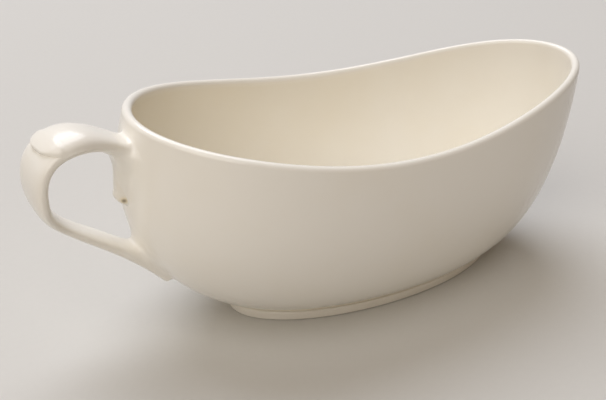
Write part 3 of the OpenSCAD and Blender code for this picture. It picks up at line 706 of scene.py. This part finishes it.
# Tail under the upper joint: a tongue drawn down the wall, hollowed into the strap and ending in a small
# nub, with a dark spot of painted shade on its near side, where a shadowed dimple lies
tailPlan = {
    "sizes": {"length": 20.5, "topWidth": 14.6, "lowWidth": 9.5, "leastWidth": 0.4, "thick": 3.9,
              "flare": 7.5, "nubThick": 0.7, "nubLength": 6, "endLength": 4.5, "sink": 0.5,
              "underSink": 0.7, "hidden": 1.5, "cap": 0.5, "paintedShadeSpot": 1.4},
    "shape": {"narrowBy": 2.2, "narrowPower": 0.7, "topSide": 9, "lowSide": 3.2, "sideBy": 3,
              "sideFall": 0.5, "crowd": 0.5, "strapTo": 0.6, "pool": 0.15, "paintedShadePool": 2.0},
    "counts": {"stations": 64, "across": 28, "strapSteps": 40, "tries": 3, "paintedShadeStation": 48,
               "paintedShadeAcross": 4},
}
tailSizes, tailShape, tailCounts = tailPlan.values()
underRow = []  # underside of the strap from inside the wall outwards
for k in range(tailCounts["strapSteps"] + 1):
    u = blend(strapShape["startsAt"], tailShape["strapTo"], k / tailCounts["strapSteps"])
    underRow.append(strapMiddle(u) - strapOut(u) * strapThick(u) / 2)


def underZ(x):
    for a, b in zip(underRow, underRow[1:]):
        if x >= b.x:
            return blend(a.z, b.z, (a.x - x) / (a.x - b.x))
    return underRow[-1].z


tailTop = underZ(upperStart.x)
tailFoot = tailTop - tailSizes["length"] * mm
rows = []
for i in range(tailCounts["stations"] + 1):
    s = max(0.0, (i - 1) / (tailCounts["stations"] - 1))
    s = blend(s, math.sin(math.pi / 2 * s), tailShape["crowd"])
    d = s * tailSizes["length"]
    hollow = max(0.0, tailSizes["flare"] - d)
    flare = tailSizes["flare"] - math.sqrt(tailSizes["flare"] ** 2 - hollow ** 2)
    left = tailSizes["length"] - d
    nub = tailSizes["nubThick"] * math.sin(math.pi * max(0.0, min(1.0, 1 - left / tailSizes["nubLength"])))
    end = 1 - max(0.0, 1 - left / tailSizes["endLength"]) ** 2
    narrowing = ease(tailShape["narrowBy"] * s) ** tailShape["narrowPower"]
    width = blend(tailSizes["topWidth"], tailSizes["lowWidth"], narrowing) * math.sqrt(end)
    half = mm / 2 * max(tailSizes["leastWidth"], width)
    high = (tailSizes["thick"] + flare + nub) * end
    power = blend(tailShape["topSide"], tailShape["lowSide"], ease(tailShape["sideBy"] * s))
    rise = tailSizes["hidden"] * mm if i == 0 else 0.0  # the first row is hidden in the strap
    over, under = [], []
    for j in range(tailCounts["across"] + 1):
        lean = -math.cos(math.pi * j / tailCounts["across"])
        crown = (1 - abs(lean) ** power) ** tailShape["sideFall"]
        z = blend(tailTop, tailFoot, s)
        for tries in range(tailCounts["tries"]):  # the top follows the slope of the strap above it
            spot = wallAt(half * lean, z)[0]
            x = spot.x + (tailSizes["sink"] - (high + tailSizes["sink"]) * crown) * mm
            z = blend(underZ(x), tailFoot, s)
        over.append(Vector((x, half * lean, z + rise)))
        under.append(Vector((spot.x + tailSizes["underSink"] * mm, half * lean, z + rise)))
    rows.append(over + under[::-1])
# The dark spot is painted shade: its pool rises well over 1 round one point near the nub
paintedShadeCentre = rows[tailCounts["paintedShadeStation"]][tailCounts["paintedShadeAcross"]]
cap = [point + Vector((0, 0, tailSizes["cap"] * mm)) for point in pinched(rows[0])]


def tailPoolAndShadeSpot(point):
    far = (point - paintedShadeCentre).length / (tailSizes["paintedShadeSpot"] * mm)
    return tailShape["pool"] + tailShape["paintedShadePool"] * math.exp(-far ** 2)


upperTail = skinRows("upper_tail_glazed", [cap] + rows + [pinched(rows[-1])], dippedGlaze, tailPoolAndShadeSpot)
print("stage: tail under the upper joint made")

# Slip at the joints: what a wet finger leaves, a soft hollow between two surfaces. It is drawn in a block
# of fine cells as the soft lower bound of the distances to the clay, just under each surface where it
# fades out.
upperSlipPlan = {
    "sizes": {"blendTop": 10, "blendLow": 1.2, "blendClay": 2, "topAt": 86, "lowAt": 64, "overAt": 91,
              "blendOver": 3, "reach": 15, "skin": 0.9, "fade": 0.04},
    "block": {"behind": 19, "ahead": 14, "side": 24, "bottom": 58, "top": 97},
}
lowerSlipPlan = {
    "sizes": {"blendTop": 12, "blendLow": 4, "topAt": 45, "lowAt": 28, "overAt": 60,
              "blendOver": 12, "reach": 10, "skin": 0.9, "fade": 0.04},
    "block": {"behind": 26, "ahead": 14, "side": 20, "bottom": 18, "top": 62},
}
slipCells = {"size": 0.4, "outsideFrom": 3.5, "deepInside": 10, "blurs": 10, "blurShare": 0.7, "tries": 3,
             "pool": 0.0}


def distanceTo(tree, piece, onlyBack=False):
    # Distance to a piece, below zero inside it; onlyBack takes just the faces that look back to the handle
    here = addNode(tree, "GeometryNodeInputPosition")
    shape = addNode(tree, "GeometryNodeObjectInfo", named={"Object": piece}).outputs["Geometry"]
    near = addNode(tree, "GeometryNodeProximity", named={"Source Position": here}, target_element="FACES")
    tree.links.new(shape, near.inputs[0])
    facing = addNode(tree, "GeometryNodeSampleNearestSurface", data_type="FLOAT_VECTOR", named={
        "Mesh": shape, "Value": addNode(tree, "GeometryNodeInputNormal"), "Sample Position": here})
    away = addNode(tree, "ShaderNodeVectorMath", here, near.outputs["Position"], operation="SUBTRACT")
    side = addNode(tree, "ShaderNodeVectorMath", away, facing.outputs["Value"], operation="DOT_PRODUCT")
    sign = addNode(tree, "ShaderNodeMath", side.outputs["Value"], operation="SIGN")
    # Far from an edge the sign can be wrong, so a point farther off than outsideFrom is taken as outside
    beyond = addNode(tree, "ShaderNodeMath", near.outputs["Distance"], slipCells["outsideFrom"] * mm,
                     operation="GREATER_THAN")
    outside = addNode(tree, "ShaderNodeMath", beyond, 2.0, -1.0, operation="MULTIPLY_ADD")
    sign = addNode(tree, "ShaderNodeMath", sign, outside, operation="MAXIMUM")
    distance = addNode(tree, "ShaderNodeMath", near.outputs["Distance"], sign, operation="MULTIPLY")
    if not onlyBack:
        return distance
    ahead = addNode(tree, "ShaderNodeSeparateXYZ", facing.outputs["Value"])
    forward = addNode(tree, "FunctionNodeCompare", ahead, 0.0, operation="GREATER_THAN", data_type="FLOAT")
    return addNode(tree, "GeometryNodeSwitch", forward, distance, -slipCells["deepInside"] * mm,
                   input_type="FLOAT")


def slipTree(name, sizes, clays):
    tree, given, made = newTree(name, {
        "Object": clays, "Float": [*sizes, "pool"], "Vector": ["least", "most"],
        "Int": ["cellsX", "cellsY", "cellsZ"], "Material": ["glaze"]})
    height = placeParts(tree)[2]
    rising = addNode(tree, "ShaderNodeMapRange", height, given["lowAt"], given["topAt"], given["blendLow"],
                     given["blendTop"], interpolation_type="SMOOTHSTEP")
    above = addNode(tree, "ShaderNodeMapRange", height, given["topAt"], given["overAt"], 0.0, 1.0,
                    interpolation_type="SMOOTHSTEP")
    softness = addNode(tree, "ShaderNodeMix", above, rising, given["blendOver"], data_type="FLOAT")
    wall = distanceTo(tree, given["bowl"], onlyBack=True)
    others = [distanceTo(tree, given[n]) for n in clays if n != "bowl"]
    clay = others[0]
    for other in others[1:]:
        clay = addNode(tree, "ShaderNodeMath", clay, other, given["blendClay"], operation="SMOOTH_MIN")
    joined = addNode(tree, "ShaderNodeMath", wall, clay, softness, operation="SMOOTH_MIN")
    solid = addNode(tree, "ShaderNodeMath", joined, given["fade"], operation="ADD")
    for distance in (wall, clay):  # only near both surfaces, and only skin deep in them
        far = addNode(tree, "ShaderNodeMath", distance, given["reach"], operation="SUBTRACT")
        skinned = addNode(tree, "ShaderNodeMath", distance, given["skin"], operation="ADD")
        deep = addNode(tree, "ShaderNodeMath", skinned, -1.0, operation="MULTIPLY")
        solid = addNode(tree, "ShaderNodeMath", solid, far, operation="MAXIMUM")
        solid = addNode(tree, "ShaderNodeMath", solid, deep, operation="MAXIMUM")
    density = addNode(tree, "ShaderNodeMath", solid, -1 / mm, 1.0, operation="MULTIPLY_ADD")
    block = addNode(tree, "GeometryNodeVolumeCube", density, 0.0, given["least"], given["most"],
                    given["cellsX"], given["cellsY"], given["cellsZ"])
    skin = addNode(tree, "GeometryNodeVolumeToMesh", named={"Volume": block, "Threshold": 1.0})
    even = addNode(tree, "GeometryNodeBlurAttribute", data_type="FLOAT_VECTOR", named={
        "Value": addNode(tree, "GeometryNodeInputPosition"), "Iterations": slipCells["blurs"],
        "Weight": slipCells["blurShare"]})
    skin = addNode(tree, "GeometryNodeSetPosition", named={"Geometry": skin, "Position": even})
    halfCell = slipCells["size"] * mm / 2
    for tries in range(slipCells["tries"]):  # cells are coarse, so points move on to the exact surface
        back = addNode(tree, "ShaderNodeMath", solid, -1.0, operation="MULTIPLY")
        miss = addNode(tree, "ShaderNodeClamp", back, -halfCell, halfCell)
        shove = addNode(tree, "ShaderNodeVectorMath", operation="SCALE", named={
            "Vector": addNode(tree, "GeometryNodeInputNormal"), "Scale": miss})
        skin = addNode(tree, "GeometryNodeSetPosition", named={"Geometry": skin, "Offset": shove})
    marked = addNode(tree, "GeometryNodeStoreNamedAttribute", data_type="FLOAT", domain="POINT",
                     named={"Geometry": skin, "Name": "pool", "Value": given["pool"]})
    closePiece(tree, marked, given, made)
    return tree


def slipPiece(name, plan, wallX, clays):
    sizes, block = plan["sizes"], plan["block"]
    least = (wallX - block["behind"], -block["side"], block["bottom"])
    most = (wallX + block["ahead"], block["side"], block["top"])
    cells = {"cells" + axis: int((b - a) / slipCells["size"]) for axis, a, b in zip("XYZ", least, most)}
    piece = growPiece(name, slipTree(name + "Cells", sizes, clays), {
        **clays, **inMetres(sizes), **cells, "pool": slipCells["pool"],
        "least": Vector(least) * mm, "most": Vector(most) * mm, "glaze": jointGlaze})
    keepLargest(piece)
    return piece


upperSlip = slipPiece("upper_joint_slip_fillet", upperSlipPlan, upperStart.x / mm,
                      {"bowl": bowl, "strap": strap, "tail": upperTail})
lowerSlip = slipPiece("lower_joint_slip_fillet", lowerSlipPlan, lowWall.x / mm,
                      {"bowl": bowl, "strap": strap})
print("stage: joint slips grown,", *[len(piece.data.polygons) for piece in (upperSlip, lowerSlip)], "faces")

for piece, node, slot in ((bowl, "bowl", "glazed_body"), (footRing, "foot_ring", "glazed_body"),
                          (footBed, "foot_joint_slip", "glazed_slip"),
                          (strap, "handle_strap", "glazed_body"),
                          (thumbRest, "thumb_rest", "glazed_body"),
                          (upperTail, "upper_tail", "glazed_body"),
                          (upperSlip, "upper_joint_slip", "glazed_slip"),
                          (lowerSlip, "lower_joint_slip", "glazed_slip")):
    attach(piece, "root")
    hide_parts(node)

# Studio: a pale matt paper floor, a pale room and two soft lamps
studio = {
    "floorColour": "#D4D3CF", "floorSize": 12.0, "floorCells": 8, "floorRough": 0.9, "fibreMm": 3,
    "fibreShade": 0.97,
    "worldColour": "#FFD09C", "worldStrength": 0.12, "backdropColour": "#DEDEDD", "backdropStrength": 1.0,
    "keyTurn": 82, "keyRise": 57, "keyFar": 3.0, "keySize": 2.8, "keyPower": 76.0, "keyColour": "#F4F7FF",
    "sideTurn": 216, "sideRise": 46, "sideFar": 3.0, "sideSize": 3.2, "sidePower": 52.0,
    "sideColour": "#FFFAF3",
}
cameraView = {"turn": -28.72, "rise": 27.745, "far": 0.44014, "aim": (-25.52, -25.12, 60), "lens": 64.75,
              "sensor": 36.0, "clip": 0.01}

# Matt studio paper, rolled: an even pale grey with a faint fibre
paper = bpy.data.materials.new("paleStudioPaperRolled")
paper.use_nodes = True
paperTree = paper.node_tree
paperShader = paperTree.nodes["Principled BSDF"]
paperPlace = addNode(paperTree, "ShaderNodeTexCoord").outputs["Object"]
fibre = addNode(paperTree, "ShaderNodeTexNoise", named={
    "Vector": paperPlace, "Scale": 1 / (studio["fibreMm"] * mm), "Detail": 3.0})
paperColour = toLinear(studio["floorColour"])
paperTint = addNode(paperTree, "ShaderNodeMix", fibre, [studio["fibreShade"] * c for c in paperColour],
                    paperColour, data_type="RGBA")
paperTree.links.new(shownOutput(paperTint), paperShader.inputs["Base Color"])
paperShader.inputs["Roughness"].default_value = studio["floorRough"]
sheet = bmesh.new()
bmesh.ops.create_grid(sheet, x_segments=studio["floorCells"], y_segments=studio["floorCells"],
                      size=studio["floorSize"] / 2)
floorMesh = bpy.data.meshes.new("studio_floor")
sheet.to_mesh(floorMesh)
sheet.free()
floorMesh.materials.append(paper)
floorPiece = newObject("studio_floor", floorMesh)

world = bpy.data.worlds.new("softRoom")
world.use_nodes = True
room = world.node_tree
sky = room.nodes["Background"]
sky.inputs["Color"].default_value = toLinear(studio["worldColour"])
sky.inputs["Strength"].default_value = studio["worldStrength"]
# The eye and the gloss see a pale backdrop; the light on the object stays the room's own
rayKinds = addNode(room, "ShaderNodeLightPath").outputs
seen = rayKinds["Is Camera Ray"]
for kind in ("Is Glossy Ray", "Is Transmission Ray"):
    seen = addNode(room, "ShaderNodeMath", seen, rayKinds[kind], operation="MAXIMUM")
backdrop = addNode(room, "ShaderNodeBackground", toLinear(studio["backdropColour"]),
                   studio["backdropStrength"])
chooser = addNode(room, "ShaderNodeMixShader", seen, sky, backdrop)
room.links.new(chooser.outputs[0], room.nodes["World Output"].inputs["Surface"])
scene.world = world
aim = Vector(cameraView["aim"]) * mm
for lampName in ("key", "side"):
    turn, rise = math.radians(studio[lampName + "Turn"]), math.radians(studio[lampName + "Rise"])
    lamp = bpy.data.lights.new(lampName + "Lamp", "AREA")
    lamp.shape = "DISK"
    lamp.size = studio[lampName + "Size"]
    lamp.energy = studio[lampName + "Power"]
    lamp.color = toLinear(studio[lampName + "Colour"])[:3]
    holder = newObject(lampName + "Lamp", lamp)
    towards = Vector((math.cos(turn) * math.cos(rise), math.sin(turn) * math.cos(rise), math.sin(rise)))
    holder.location = aim + towards * studio[lampName + "Far"]
    holder.rotation_euler = towards.to_track_quat("Z", "Y").to_euler()
turn, rise = math.radians(cameraView["turn"]), math.radians(cameraView["rise"])
lens = bpy.data.cameras.new("photoAngle")
lens.lens = cameraView["lens"]
lens.sensor_width = cameraView["sensor"]
lens.sensor_fit = "HORIZONTAL"
lens.clip_start = cameraView["clip"]
cameraHolder = newObject("photoAngle", lens)
cameraHolder.location = aim + Vector((
    math.sin(turn) * math.cos(rise), -math.cos(turn) * math.cos(rise), math.sin(rise))) * cameraView["far"]
cameraHolder.rotation_euler = (math.pi / 2 - rise, 0, turn)
scene.camera = cameraHolder
print("stage: floor, lamps and camera set")
